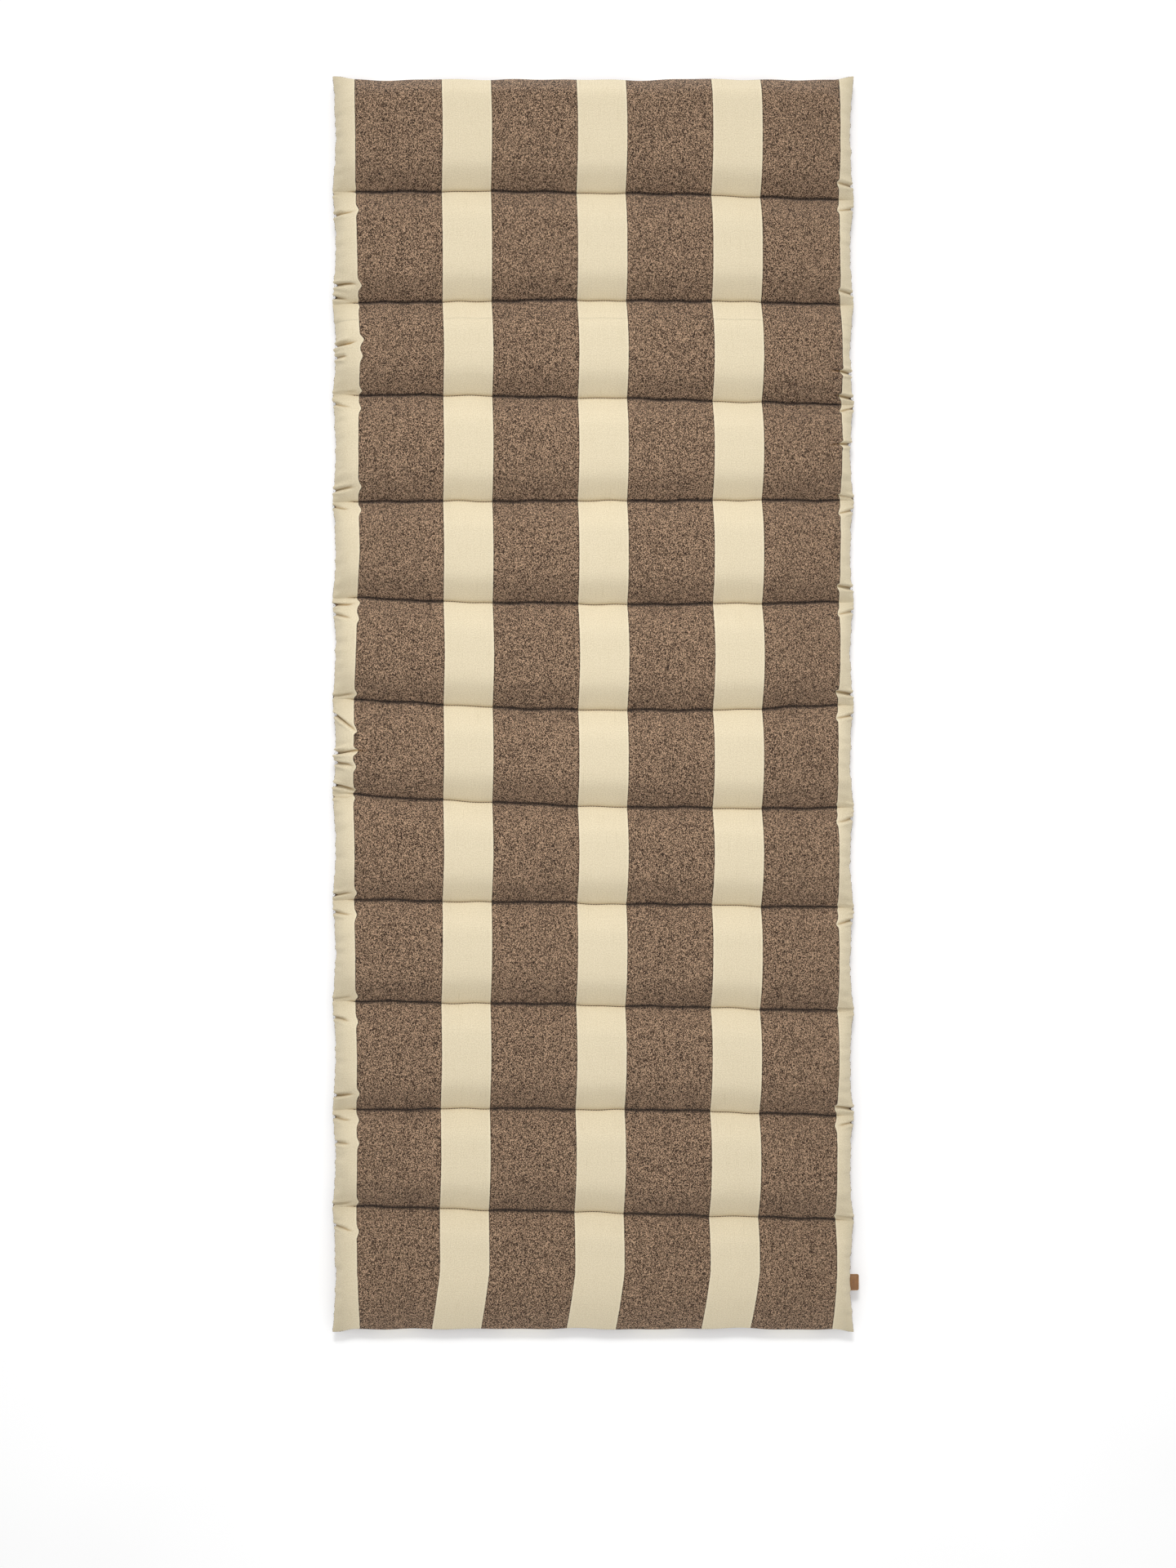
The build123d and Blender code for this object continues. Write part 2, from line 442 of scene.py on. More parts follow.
# folds drawn in by the edge seam: side, place along the mattress, length in from the edge, depth and slant
edgeFolds = [
    (-1, 0.737, 0.030, 0.0020, 0.10), (-1, 0.705, 0.034, 0.0026, 0.16), (-1, 0.605, 0.036, 0.0034, -0.05),
    (-1, 0.588, 0.030, 0.0026, -0.25), (-1, 0.516, 0.034, 0.0034, 0.18), (-1, 0.500, 0.020, 0.0022, 0.0),
    (-1, 0.446, 0.036, 0.0030, 0.10), (-1, 0.434, 0.026, 0.0020, -0.2), (-1, 0.308, 0.034, 0.0026, 0.12),
    (-1, 0.286, 0.026, 0.0022, -0.15), (-1, 0.143, 0.034, 0.0028, 0.10), (-1, 0.130, 0.028, 0.0022, -0.2),
    (-1, 0.010, 0.032, 0.0026, 0.12), (-1, -0.014, 0.036, 0.0030, -0.75), (-1, -0.070, 0.052, 0.0050, 0.05),
    (-1, -0.084, 0.030, 0.0026, -0.2), (-1, -0.116, 0.040, 0.0032, -0.3), (-1, -0.133, 0.030, 0.0024, 0.0),
    (-1, -0.276, 0.030, 0.0024, 0.1), (-1, -0.300, 0.028, 0.0022, -0.1), (-1, -0.428, 0.030, 0.0024, 0.15),
    (-1, -0.452, 0.026, 0.0020, -0.15), (-1, -0.565, 0.032, 0.0026, 0.1), (-1, -0.596, 0.028, 0.0022, -0.1),
    (-1, -0.632, 0.024, 0.0020, 0.0), (-1, -0.724, 0.030, 0.0026, 0.1), (-1, -0.752, 0.030, 0.0022, -0.2),
    (1, 0.748, 0.028, 0.0022, 0.1), (1, 0.715, 0.026, 0.0020, -0.1), (1, 0.592, 0.026, 0.0020, 0.15),
    (1, 0.477, 0.036, 0.0032, 0.05), (1, 0.441, 0.032, 0.0028, 0.15), (1, 0.428, 0.026, 0.0022, -0.2),
    (1, 0.375, 0.034, 0.0030, -0.1), (1, 0.296, 0.034, 0.0028, 0.15), (1, 0.280, 0.026, 0.0022, -0.2),
    (1, 0.167, 0.030, 0.0026, 0.1), (1, 0.134, 0.026, 0.0020, -0.15), (1, 0.014, 0.034, 0.0028, 0.1),
    (1, -0.016, 0.028, 0.0022, -0.15), (1, -0.150, 0.032, 0.0028, 0.05), (1, -0.165, 0.024, 0.0020, -0.2),
    (1, -0.296, 0.036, 0.0030, 0.1), (1, -0.312, 0.026, 0.0022, -0.2), (1, -0.444, 0.034, 0.0028, 0.08),
    (1, -0.585, 0.034, 0.0028, 0.1), (1, -0.604, 0.024, 0.0020, -0.15), (1, -0.744, 0.032, 0.0028, 0.1),
]
# creases over the filling: two ends, depth and half width
creases = [
    ((-0.350, -0.056), (-0.288, -0.033), 0.0016, 0.005),
    ((-0.344, -0.113), (-0.322, -0.122), 0.0016, 0.003),
    ((-0.217, -0.801), (-0.155, -0.791), 0.0018, 0.004),
    ((-0.212, -0.862), (-0.176, -0.884), 0.0018, 0.004),
    ((-0.176, -0.884), (-0.150, -0.897), 0.0014, 0.003),
    ((-0.222, -0.829), (-0.160, -0.826), 0.0012, 0.003),
    ((-0.186, -0.842), (-0.170, -0.892), 0.0016, 0.005),
    ((0.236, -0.892), (0.262, -0.862), 0.0016, 0.004),
    ((0.268, -0.893), (0.300, -0.858), 0.0016, 0.004),
    ((0.300, -0.890), (0.322, -0.866), 0.0014, 0.003),
    ((-0.344, -0.832), (-0.318, -0.815), 0.0016, 0.004),
    ((0.300, 0.398), (0.342, 0.404), 0.0018, 0.005),
    ((0.310, 0.384), (0.344, 0.394), 0.0016, 0.004),
    ((0.306, -0.082), (0.348, -0.068), 0.0014, 0.005),
    ((-0.300, 0.628), (-0.345, 0.612), 0.0012, 0.005),
]


def foldProfile(distance, width):
    # a valley with a raised lip on each side
    s = foldSettings
    share = distance / width
    return np.exp(-share ** 2) - s["lip"] * np.exp(-(abs(share) - s["lipPlace"]) ** 2)


def pressFolds(cushion, channel):
    s = foldSettings
    mesh = cushion.data
    places, normals = readPlaces(mesh), readNormals(mesh)
    x, y, z = places.T
    depth, shade, notch = np.zeros((3, len(places)))
    share = (y - rowLine(channel, x)) / (rowLine(channel - 1, x) - rowLine(channel, x))
    onTop = smoothStep(z, seamHeight - 0.010, seamHeight + 0.001)
    clear = smoothStep(share, 0, s["clearOfRow"]) * smoothStep(1 - share, 0, s["clearOfRow"])
    for side, place, length, deep, slant in edgeFolds:
        reach = sideLine(side, channel, share)
        inwards = reach - side * x
        across = y - place - slant * inwards
        start, stop = length * s["fadeOut"][0], length * s["fadeOut"][1]
        fade = (1 - smoothStep(inwards, start, stop)) * onTop * clear
        width = s["narrow"] + s["widening"] * np.clip(inwards, 0, 0.05)
        depth += s["deeper"] * deep * foldProfile(across, width) * fade
        # painted shade along the bottom of each fold
        line = np.exp(-(across / s["shadeWidth"]) ** 2)
        shade = np.maximum(shade, fade * line * min(deep / 0.0032, 1))
        pull = np.exp(-(across / s["pullWidth"]) ** 2) * smoothStep(inwards, *s["pullFrom"]) * clear
        pull *= min(deep / 0.0036, 1) * (inwards < s["pullStop"])
        notch += side * clothSettings["notch"] * pull
    for (startX, startY), (stopX, stopY), deep, width in creases:
        run = np.array([stopX - startX, stopY - startY])
        length = math.hypot(*run)
        along = ((x - startX) * run[0] + (y - startY) * run[1]) / length
        across = ((y - startY) * run[0] - (x - startX) * run[1]) / length
        fromStart = smoothStep(along, -0.004, 0.3 * length)
        fromStop = smoothStep(length - along, -0.004, 0.3 * length)
        depth += deep * foldProfile(across, width) * fromStart * fromStop * onTop * clear
    writePlaces(mesh, places - normals * depth[:, None])
    writeShade(mesh, "foldShade", shade)
    corner = cornerVertices(mesh)
    pattern = np.empty(len(corner) * 2, np.float32)
    clothMap = mesh.uv_layers["clothMap"]
    clothMap.data.foreach_get("uv", pattern)
    pattern[::2] += notch[corner]
    clothMap.data.foreach_set("uv", pattern)


def settleShape(cushion, channel):
    # keeps each flank clear of its neighbour's, pinches the seams and rests the underside flat
    s = cushionSettings
    mesh = cushion.data
    places = readPlaces(mesh)
    x, y, z = places.T
    toHead, toFoot = rowLine(channel - 1, x) - y, y - rowLine(channel, x)
    noRow = np.ones_like(x)
    gap = np.minimum(noRow if channel == 1 else toHead, noRow if channel == channelCount else toFoot)
    gap = np.maximum(gap, 0)
    quilted = smoothStep(quiltedReach + 0.012 - abs(x), 0, 0.016)
    pinch = s["seamPinch"] * quilted * (1 - np.exp(-(gap / s["pinchWidth"]) ** 2))
    towardsHead = toHead < toFoot
    flank = pinch + gap * math.tan(s["flankSlope"])
    lift = z - seamHeight
    fromSide = sideReach - abs(x)
    firmShare = smoothStep(fromSide, *s["firmFrom"])
    firmness = s["firmSides"] + (s["firmMiddle"] - s["firmSides"]) * firmShare
    over = softMin(abs(lift) * firmness, s["topRise"], s["topSharpness"])
    under = softMin(abs(lift), seamHeight, s["underSharpness"])
    if channel == channelCount:
        inwards = np.clip(toFoot / s["footRoll"], 0, 1)
        rolled = s["topRise"] * (1 - (1 - inwards) ** s["footRollPower"])
        over = softMin(over, rolled, s["footRollSharpness"])
    height = np.where(lift > 0, over, under)
    footSharpness, headSharpness = s["flankSharpness"]
    height = softMin(height, flank, np.where(towardsHead, headSharpness, footSharpness))
    z = seamHeight + np.sign(lift) * height
    writePlaces(mesh, np.stack([x, y, z], 1))

    # painted seam shade: half as dark at the head of a channel, which faces the light, as at its foot, and
    # faint where nothing is quilted
    shade = 1 - smoothStep(gap, *s["seamShadeGap"])
    shade *= (0.25 + 0.75 * quilted) * np.where(towardsHead, 0.5, 1)
    writeShade(mesh, "seamShade", shade)
    # painted shade towards the rolled sides
    writeShade(mesh, "sideShade", 1 - smoothStep(fromSide, *s["sideShadeWidth"]))
    mesh.attributes.remove(mesh.attributes["flatCut"])


# ---- shader helpers

def newMaterial(name):
    material = bpy.data.materials.new(name)
    material.use_nodes = True
    tree = material.node_tree
    tree.nodes.clear()
    output = tree.nodes.new("ShaderNodeOutputMaterial")
    shader = tree.nodes.new("ShaderNodeBsdfPrincipled")
    tree.links.new(shader.outputs["BSDF"], output.inputs["Surface"])
    return material, tree, shader


def feed(tree, socket, value):
    if isinstance(value, bpy.types.NodeSocket):
        tree.links.new(value, socket)
    else:
        socket.default_value = value


def maths(tree, operation, *values):
    node = tree.nodes.new("ShaderNodeMath")
    node.operation = operation
    for socket, value in zip(node.inputs, values):
        feed(tree, socket, value)
    return node.outputs[0]


def rangeMask(tree, value, low, high, toLow=0.0, toHigh=1.0):
    node = tree.nodes.new("ShaderNodeMapRange")
    node.interpolation_type = "SMOOTHSTEP"
    feed(tree, node.inputs["Value"], value)
    node.inputs["From Min"].default_value = low
    node.inputs["From Max"].default_value = high
    node.inputs["To Min"].default_value = toLow
    node.inputs["To Max"].default_value = toHigh
    return node.outputs["Result"]


def mixColours(tree, factor, first, second, blend="MIX"):
    node = tree.nodes.new("ShaderNodeMix")
    node.data_type = "RGBA"
    node.blend_type = blend
    feed(tree, node.inputs[0], factor)
    feed(tree, node.inputs[6], first)
    feed(tree, node.inputs[7], second)
    return node.outputs[2]


def combine(tree, x, y, z=0.0):
    node = tree.nodes.new("ShaderNodeCombineXYZ")
    for socket, value in zip(node.inputs, (x, y, z)):
        feed(tree, socket, value)
    return node.outputs[0]


def splitPlace(tree, vector):
    node = tree.nodes.new("ShaderNodeSeparateXYZ")
    tree.links.new(vector, node.inputs[0])
    return node.outputs


def readShade(tree, name):
    node = tree.nodes.new("ShaderNodeAttribute")
    node.attribute_name = name
    return node.outputs["Fac"]


def addBump(tree, shader, height, distance, strength=1.0):
    bump = tree.nodes.new("ShaderNodeBump")
    bump.inputs["Strength"].default_value = strength
    bump.inputs["Distance"].default_value = distance
    tree.links.new(height, bump.inputs["Height"])
    tree.links.new(bump.outputs["Normal"], shader.inputs["Normal"])


def noise(tree, vector, scale, detail=2.0, roughness=0.5):
    node = tree.nodes.new("ShaderNodeTexNoise")
    feed(tree, node.inputs["Vector"], vector)
    node.inputs["Scale"].default_value = scale
    node.inputs["Detail"].default_value = detail
    node.inputs["Roughness"].default_value = roughness
    return node.outputs["Fac"]


def colour(red, green, blue):
    # from the usual 0 to 255 to what the shader works in
    def linear(value):
        value /= 255
        return value / 12.92 if value <= 0.04045 else ((value + 0.055) / 1.055) ** 2.4
    return (linear(red), linear(green), linear(blue), 1)


def newGroup(name, inputs, outputs):
    group = bpy.data.node_groups.new(name, "ShaderNodeTree")
    for label, kind, value in inputs:
        socket = group.interface.new_socket(name=label, in_out="INPUT", socket_type=kind)
        if value is not None:
            socket.default_value = value
    for label, kind in outputs:
        group.interface.new_socket(name=label, in_out="OUTPUT", socket_type=kind)
    start = group.nodes.new("NodeGroupInput")
    stop = group.nodes.new("NodeGroupOutput")
    return group, start, stop


def useGroup(tree, group, **values):
    node = tree.nodes.new("ShaderNodeGroup")
    node.node_tree = group
    for label, value in values.items():
        feed(tree, node.inputs[label], value)
    return node


def makeFibreGroup():
    # fine fibres that run one way, for cloth, wadding and thread
    group, start, stop = newGroup(
        "fibres",
        [("Place", "NodeSocketVector", None), ("Across", "NodeSocketFloat", 900.0),
         ("Along", "NodeSocketFloat", 60.0), ("Strength", "NodeSocketFloat", 1.0)],
        [("Shade", "NodeSocketFloat")],
    )
    x, y, z = splitPlace(group, start.outputs["Place"])
    across = maths(group, "MULTIPLY", x, start.outputs["Across"])
    along = maths(group, "MULTIPLY", y, start.outputs["Along"])
    third = maths(group, "MULTIPLY", z, start.outputs["Across"])
    shade = noise(group, combine(group, across, along, third), 1.0, 3.0, 0.6)
    centred = maths(group, "SUBTRACT", shade, 0.5)
    group.links.new(maths(group, "MULTIPLY", centred, start.outputs["Strength"]), stop.inputs["Shade"])
    return group


def makeWeaveGroup():
    # plain weave: at each crossing either the warp or the weft is on top
    group, start, stop = newGroup(
        "plainWeave",
        [("Place", "NodeSocketVector", None), ("Threads", "NodeSocketFloat", 1000.0)],
        [("Height", "NodeSocketFloat"), ("Warp", "NodeSocketFloat")],
    )
    x, y, z = splitPlace(group, start.outputs["Place"])
    turns = maths(group, "MULTIPLY", start.outputs["Threads"], math.pi)
    warp = maths(group, "SINE", maths(group, "MULTIPLY", x, turns))
    weft = maths(group, "SINE", maths(group, "MULTIPLY", y, turns))
    crossing = maths(group, "GREATER_THAN", maths(group, "MULTIPLY", warp, weft), 0.0)
    difference = maths(group, "SUBTRACT", maths(group, "ABSOLUTE", warp), maths(group, "ABSOLUTE", weft))
    over = maths(group, "MULTIPLY_ADD", difference, crossing, maths(group, "ABSOLUTE", weft))
    group.links.new(over, stop.inputs["Height"])
    group.links.new(crossing, stop.inputs["Warp"])
    return group


fibres = makeFibreGroup()
plainWeave = makeWeaveGroup()


# ---- cloth, thread, leather and wadding

stitchSettings = {
    "length": 0.0031,
    "pitch": 0.0038,
    "width": 0.0011,
    "thickness": 0.0008,
    "lift": 0.0006,         # middle of a stitch above or below the seam
    "edgeLength": 0.0026,
    "edgePitch": 0.0034,
    "edgeThickness": 0.0006,
    "edgeInset": 0.0012,
    "edgeFromCorner": 0.006,
    "twist": 0.0007,        # from one ply to the next along the thread
}

clothSettings = {
    "repeat": 0.1945,           # one brown and one cream stripe
    "creamWidth": 0.0708,
    "creamPlace": 0.0129,       # middle of the middle cream stripe
    "undersideShift": 0.09725,  # the underside panel starts half a repeat later
    "bow": 0.0024,              # how far the stripes swing to the right between two rows
    "takenAtRight": 0.0100,     # cloth taken up by the right side
    "takenFrom": (0.26, 0.35),
    "notch": 0.0060,            # how far a fold pulls the stripes inwards
    "threads": 1050.0,          # threads in a metre
    "brownDark": colour(26, 16, 11),
    "brownMiddle": colour(72, 50, 34),
    "brownLight": colour(194, 162, 132),
    "cream": colour(220, 206, 174),
    "creamPale": colour(238, 225, 196),
    "creamDeep": colour(196, 178, 140),
    "edgeDark": colour(52, 36, 26),
    # painted shade colours for the seams on cream and on brown; the cream one also darkens the folds
    "creamSeamTint": (0.52, 0.38, 0.20, 1),
    "brownSeamTint": (0.03, 0.02, 0.015, 1),
    "sideTint": (0.83, 0.83, 0.82, 1),  # painted shade: the rolled sides a little darker
    "wornLine": 0.548,          # a pressed crease across the whole cloth, with painted shade along it
}


def stripedClothMaterial():
    s = clothSettings
    material, tree, shader = newMaterial("stripedCloth")
    uv = tree.nodes.new("ShaderNodeUVMap")
    uv.uv_map = "clothMap"
    u, v, _ = splitPlace(tree, uv.outputs["UV"])

    # the stripes, with warp threads that stray a little at their edges
    wander = maths(tree, "SUBTRACT", noise(tree, combine(tree, u, v), 260.0), 0.5)
    stray = maths(tree, "MULTIPLY", wander, 0.0012)
    fromCream = maths(tree, "SUBTRACT", maths(tree, "ADD", u, stray), s["creamPlace"])
    turns = maths(tree, "DIVIDE", fromCream, s["repeat"])
    nearest = maths(tree, "SUBTRACT", turns, maths(tree, "ROUND", turns))
    fromMiddle = maths(tree, "MULTIPLY", maths(tree, "ABSOLUTE", nearest), s["repeat"])
    toEdge = maths(tree, "SUBTRACT", fromMiddle, s["creamWidth"] / 2)
    brown = rangeMask(tree, toEdge, -0.0003, 0.0003)
    darkLine = maths(tree, "MULTIPLY", rangeMask(tree, toEdge, 0.0, 0.0004),
                     rangeMask(tree, toEdge, 0.0010, 0.0018, 1.0, 0.0))
    paleLine = maths(tree, "MULTIPLY", rangeMask(tree, toEdge, -0.0030, -0.0018),
                     rangeMask(tree, toEdge, -0.0006, -0.0002, 1.0, 0.0))

    # brown yarn spun from dark and light wool
    fleckPlace = combine(tree, maths(tree, "MULTIPLY", u, 1300.0), maths(tree, "MULTIPLY", v, 980.0))
    cells = tree.nodes.new("ShaderNodeTexVoronoi")
    tree.links.new(fleckPlace, cells.inputs["Vector"])
    cells.inputs["Scale"].default_value = 1.0
    cellSplit = tree.nodes.new("ShaderNodeSeparateColor")
    tree.links.new(cells.outputs["Color"], cellSplit.inputs[0])
    soft = noise(tree, fleckPlace, 0.9, 3.0, 0.65)
    fleck = maths(tree, "ADD", maths(tree, "MULTIPLY", cellSplit.outputs[0], 0.60),
                  maths(tree, "MULTIPLY", soft, 0.40))
    ramp = tree.nodes.new("ShaderNodeValToRGB")
    tree.links.new(fleck, ramp.inputs["Fac"])
    ramp.color_ramp.elements[0].position = 0.33
    ramp.color_ramp.elements[0].color = s["brownDark"]
    ramp.color_ramp.elements[1].position = 0.69
    ramp.color_ramp.elements[1].color = s["brownLight"]
    ramp.color_ramp.elements.new(0.50).color = s["brownMiddle"]
    streak = useGroup(tree, fibres, Place=uv.outputs["UV"], Across=420.0, Along=9.0, Strength=0.5)
    lighter = maths(tree, "ABSOLUTE", streak.outputs[0])
    brownYarn = mixColours(tree, lighter, ramp.outputs["Color"], s["brownLight"])

    # cream cotton, almost plain, with a few thicker threads
    slub = useGroup(tree, fibres, Place=uv.outputs["UV"], Across=700.0, Along=22.0, Strength=1.0)
    weft = useGroup(tree, fibres, Place=uv.outputs["UV"], Across=16.0, Along=620.0, Strength=1.0)
    thick = maths(tree, "ADD", maths(tree, "ABSOLUTE", slub.outputs[0]),
                  maths(tree, "ABSOLUTE", weft.outputs[0]))
    creamYarn = mixColours(tree, maths(tree, "MULTIPLY", thick, 1.5), s["creamPale"], s["cream"])
    slubs = rangeMask(tree, slub.outputs[0], 0.12, 0.26, 0.0, 0.40)
    creamYarn = mixColours(tree, slubs, creamYarn, s["creamDeep"])
    knots = noise(tree, combine(tree, u, v), 640.0, 2.0, 0.6)
    knots = rangeMask(tree, knots, 0.35, 0.65, 0.0, 0.45)
    creamYarn = mixColours(tree, knots, creamYarn, s["creamDeep"])

    cloth = mixColours(tree, brown, creamYarn, brownYarn)
    cloth = mixColours(tree, maths(tree, "MULTIPLY", darkLine, 0.55), cloth, s["edgeDark"])
    cloth = mixColours(tree, maths(tree, "MULTIPLY", paleLine, 0.55), cloth, s["creamPale"])
    weave = useGroup(tree, plainWeave, Place=uv.outputs["UV"], Threads=s["threads"])
    # painted shade in the low places of the weave
    weaveShade = rangeMask(tree, weave.outputs["Height"], 0.0, 0.7, 0.90, 1.0)
    cloth = mixColours(tree, 1.0, cloth, combine(tree, weaveShade, weaveShade, weaveShade), "MULTIPLY")

    # painted shade: darker down in the seams, in time with the stitches, at the sides, in the folds and in
    # one crease
    sunk = readShade(tree, "seamShade")
    beat = maths(tree, "SINE", maths(tree, "MULTIPLY", u, 2 * math.pi / stitchSettings["pitch"]))
    narrow = maths(tree, "MULTIPLY", maths(tree, "POWER", sunk, 1.8), 0.75)
    wide = maths(tree, "POWER", sunk, 0.4)
    sewn = maths(tree, "MULTIPLY_ADD", maths(tree, "SUBTRACT", wide, narrow), brown, narrow)
    # painted seam shade, beating with the stitch dimples
    depth = maths(tree, "MULTIPLY", sewn, maths(tree, "MULTIPLY_ADD", beat, 0.10, 0.90))
    tint = mixColours(tree, brown, s["creamSeamTint"], s["brownSeamTint"])
    cloth = mixColours(tree, depth, cloth, mixColours(tree, 1.0, cloth, tint, "MULTIPLY"))
    for name, tint in (("sideShade", s["sideTint"]), ("foldShade", s["creamSeamTint"])):
        shaded = mixColours(tree, 1.0, cloth, tint, "MULTIPLY")
        cloth = mixColours(tree, readShade(tree, name), cloth, shaded)
    # painted shade along the pressed crease, which the bump also sinks
    fromLine = maths(tree, "ABSOLUTE", maths(tree, "SUBTRACT", v, s["wornLine"]))
    pressed = rangeMask(tree, fromLine, 0.0004, 0.0020, 1.0, 0.0)
    cloth = mixColours(tree, maths(tree, "MULTIPLY", pressed, 0.10), cloth, s["brownDark"])
    tree.links.new(cloth, shader.inputs["Base Color"])

    rough = maths(tree, "MULTIPLY_ADD", weave.outputs["Height"], -0.08, 0.94)
    tree.links.new(rough, shader.inputs["Roughness"])
    shader.inputs["Sheen Weight"].default_value = 0.12
    shader.inputs["Sheen Roughness"].default_value = 0.45
    shader.inputs["Specular IOR Level"].default_value = 0.25
    hair = useGroup(tree, fibres, Place=uv.outputs["UV"], Across=1500.0, Along=500.0, Strength=1.0)
    woolly = maths(tree, "MULTIPLY", maths(tree, "MULTIPLY", fleck, brown), 0.9)
    height = maths(tree, "ADD", maths(tree, "ADD", weave.outputs["Height"], woolly),
                   maths(tree, "MULTIPLY", hair.outputs[0], 0.8))
    height = maths(tree, "SUBTRACT", height, maths(tree, "MULTIPLY", pressed, 1.2))
    addBump(tree, shader, height, 0.00035, 0.7)
    return material


def threadMaterial():
    # two plies twisted together
    material, tree, shader = newMaterial("sewingThread")
    place = tree.nodes.new("ShaderNodeTexCoord").outputs["Object"]
    x, y, z = splitPlace(tree, place)
    lean = maths(tree, "ADD", maths(tree, "ADD", x, y), maths(tree, "MULTIPLY", z, 1.4))
    twist = maths(tree, "SINE", maths(tree, "MULTIPLY", lean, 2 * math.pi / stitchSettings["twist"]))
    fuzz = useGroup(tree, fibres, Place=place, Across=2600.0, Along=2600.0, Strength=1.0)
    # the twist darkens the grooves between the plies as painted shade; the fuzz is the yarn's own tone
    shade = maths(tree, "ADD", maths(tree, "MULTIPLY", twist, 0.25),
                  maths(tree, "ADD", fuzz.outputs[0], 0.5))
    yarn = mixColours(tree, shade, colour(44, 30, 20), colour(98, 70, 46))
    tree.links.new(yarn, shader.inputs["Base Color"])
    tree.links.new(maths(tree, "MULTIPLY_ADD", fuzz.outputs[0], 0.3, 0.6), shader.inputs["Roughness"])
    shader.inputs["Sheen Weight"].default_value = 0.1
    addBump(tree, shader, twist, 0.00012, 0.8)
    return material


def waddingMaterial():
    material, tree, shader = newMaterial("cottonWadding")
    place = tree.nodes.new("ShaderNodeTexCoord").outputs["Object"]
    tufts = noise(tree, place, 60.0, 5.0, 0.7)
    strands = useGroup(tree, fibres, Place=place, Across=300.0, Along=90.0, Strength=1.0)
    shade = maths(tree, "ADD", maths(tree, "MULTIPLY", tufts, 0.7), strands.outputs[0])
    cotton = mixColours(tree, shade, colour(205, 196, 178), colour(244, 240, 230))
    tree.links.new(cotton, shader.inputs["Base Color"])
    tree.links.new(rangeMask(tree, tufts, 0.3, 0.7, 0.9, 1.0), shader.inputs["Roughness"])
    addBump(tree, shader, shade, 0.002)
    return material


def leatherMaterial():
    material, tree, shader = newMaterial("tabLeather")
    place = tree.nodes.new("ShaderNodeTexCoord").outputs["Object"]
    grain = tree.nodes.new("ShaderNodeTexVoronoi")
    grain.feature = "DISTANCE_TO_EDGE"
    grain.inputs["Scale"].default_value = 900.0
    tree.links.new(place, grain.inputs["Vector"])
    mottle = noise(tree, place, 160.0, 4.0, 0.6)
    hide = mixColours(tree, mottle, colour(100, 64, 36), colour(164, 118, 74))
    pores = rangeMask(tree, grain.outputs["Distance"], 0.0, 0.12, 0.75, 1.0)
    hide = mixColours(tree, 1.0, hide, combine(tree, pores, pores, pores), "MULTIPLY")
    hide = mixColours(tree, readShade(tree, "cutEdge"), hide, colour(168, 138, 102))
    tree.links.new(hide, shader.inputs["Base Color"])
    tree.links.new(rangeMask(tree, mottle, 0.3, 0.7, 0.42, 0.58), shader.inputs["Roughness"])
    addBump(tree, shader, grain.outputs["Distance"], 0.00015, 0.5)
    return material


stripedCloth = stripedClothMaterial()
sewingThread = threadMaterial()
cottonWadding = waddingMaterial()
tabLeather = leatherMaterial()


def joinAtSeam(piece, channel):
    # the last channel's pieces go with the last channel; every other piece only has its place baked into
    # its mesh
    if channel == channelCount:
        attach(piece, channelNames(channel)[0])
        return
    samples = np.linspace(-sideReach, sideReach, 200)
    highest = float(max(rowLine(channel, samples).max() - seamRows[channel - 1], 0))
    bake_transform(piece)


cushions = [makeFlatCushion(channel) for channel in range(1, channelCount + 1)]
print("channels cut and sewn")
inflate(cushions)
print("channels filled")
for channel, cushion in enumerate(cushions, start=1):
    refine(cushion, channel)
    pressFolds(cushion, channel)
    settleShape(cushion, channel)
    cushion.data.materials.append(stripedCloth)
    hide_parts(f"top_cover_{channel:02d}", f"bottom_cover_{channel:02d}")
    joinAtSeam(cushion, channel)
print("channels shaped")


# ---- cotton wadding inside each channel

waddingSettings = {
    "fromSide": 0.045,
    "fromRow": 0.030,
    "low": 0.006,
    "high": 0.034,
    "rounding": 0.010,
    "tuft": 0.0008,
}


def makeWadding(channel):
    s = waddingSettings
    samples = np.linspace(-sideReach, sideReach, 200)
    head = float(rowLine(channel - 1, samples).min()) - s["fromRow"]
    foot = float(rowLine(channel, samples).max()) + s["fromRow"]
    bpy.ops.object.select_all(action="DESELECT")
    bpy.ops.mesh.primitive_cube_add(size=1)
    wadding = bpy.context.object
    wadding.name = f"wadding_{channel:02d}"
    bpy.ops.object.mode_set(mode="EDIT")
    bpy.ops.mesh.select_all(action="SELECT")
    bpy.ops.transform.resize(value=(2 * (sideReach - s["fromSide"]), head - foot, s["high"] - s["low"]))
    bpy.ops.transform.translate(value=(0, (head + foot) / 2, (s["high"] + s["low"]) / 2))
    bpy.ops.mesh.bevel(offset=s["rounding"], segments=3, affect="EDGES")
    bpy.ops.mesh.subdivide(number_cuts=3)
    bpy.ops.object.mode_set(mode="OBJECT")
    smooth = wadding.modifiers.new("soften", "SMOOTH")
    smooth.iterations = 3
    applyModifiers(wadding)
    places = readPlaces(wadding.data)
    places[:, 2] += waves(places[:, 0] + 2 * places[:, 1], 500 + channel, 4, 0.2, 0.03) * s["tuft"]
    writePlaces(wadding.data, places)
    bpy.ops.object.shade_smooth()
    wadding.data.materials.append(cottonWadding)
    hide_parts(f"filling_pad_{channel:02d}")
    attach(wadding, channelNames(channel)[0])


for channel in range(1, channelCount + 1):
    makeWadding(channel)
print("wadding placed")


# ---- rows of quilting and the edge seam, stitch by stitch

